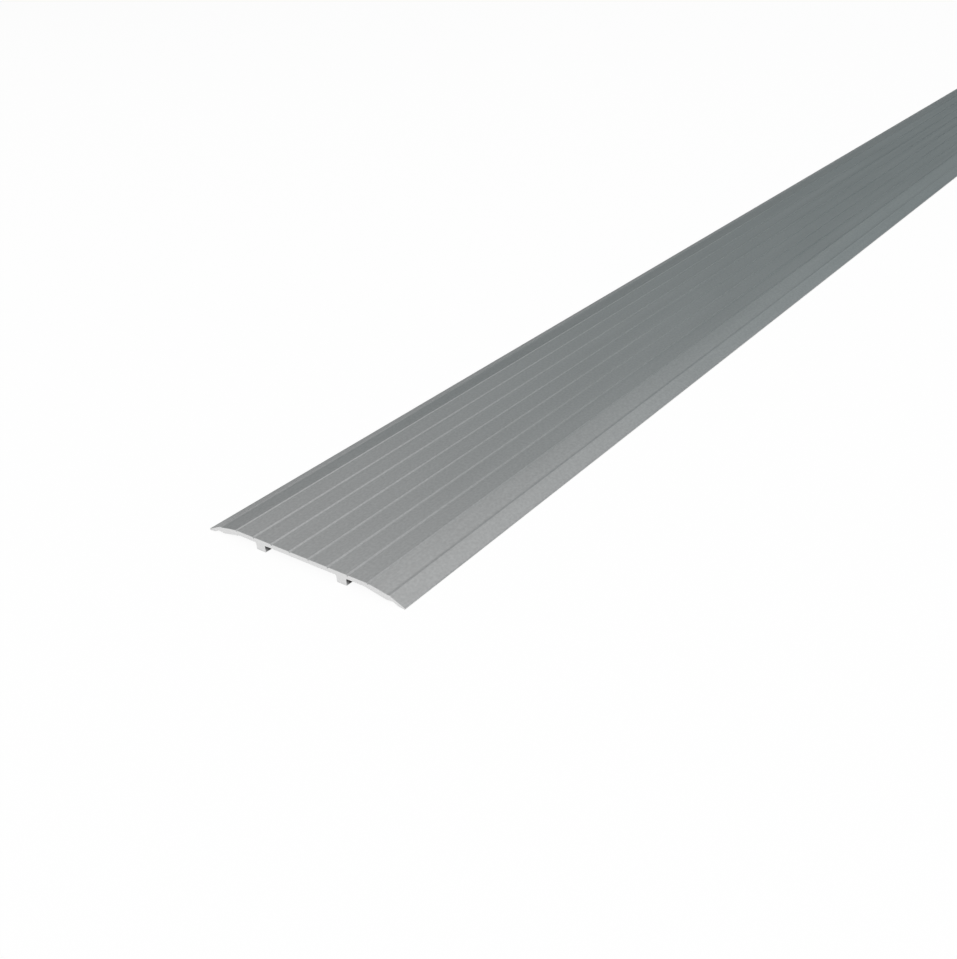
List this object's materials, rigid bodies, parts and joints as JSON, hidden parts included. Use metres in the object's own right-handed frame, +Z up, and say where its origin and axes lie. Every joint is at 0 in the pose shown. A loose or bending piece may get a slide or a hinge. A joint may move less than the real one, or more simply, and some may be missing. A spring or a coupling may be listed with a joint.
{
  "type": "threshold strip",
  "caption": "Low, wide extruded cover strip with a ribbed flat crown, sloping wings and two feet, bedded on foam tape, to bridge the floor joint in a doorway.",
  "frame": {"origin": "on the floor, under the middle of the strip, at mid-length and mid-width", "axes": "+X across the strip, +Y along the strip towards the end with the pull tabs, +Z up from the floor to the tread"},
  "size_m": [0.08, 0.9, 0.004],
  "materials": {
    "anodised_aluminium": "silver anodised, satin, with fine extrusion lines along the strip",
    "foam_tape": "closed-cell polyethylene foam, matt",
    "release_paper": "siliconed glassine paper, satin"
  },
  "bodies": {
    "strip": {"cover_profile": "anodised_aluminium", "foam_tape_left": "foam_tape", "foam_tape_centre": "foam_tape", "foam_tape_right": "foam_tape"},
    "liner_left": {"release_liner_left": "release_paper"},
    "liner_centre": {"release_liner_centre": "release_paper"},
    "liner_right": {"release_liner_right": "release_paper"}
  },
  "joints": [
    {"name": "liner_left_pull", "type": "slide", "parent": "strip", "child": "liner_left", "axis": [0, 1, 0], "range_m": [0, 0.9]},
    {"name": "liner_centre_pull", "type": "slide", "parent": "strip", "child": "liner_centre", "axis": [0, 1, 0], "range_m": [0, 0.9]},
    {"name": "liner_right_pull", "type": "slide", "parent": "strip", "child": "liner_right", "axis": [0, 1, 0], "range_m": [0, 0.9]}
  ]
}
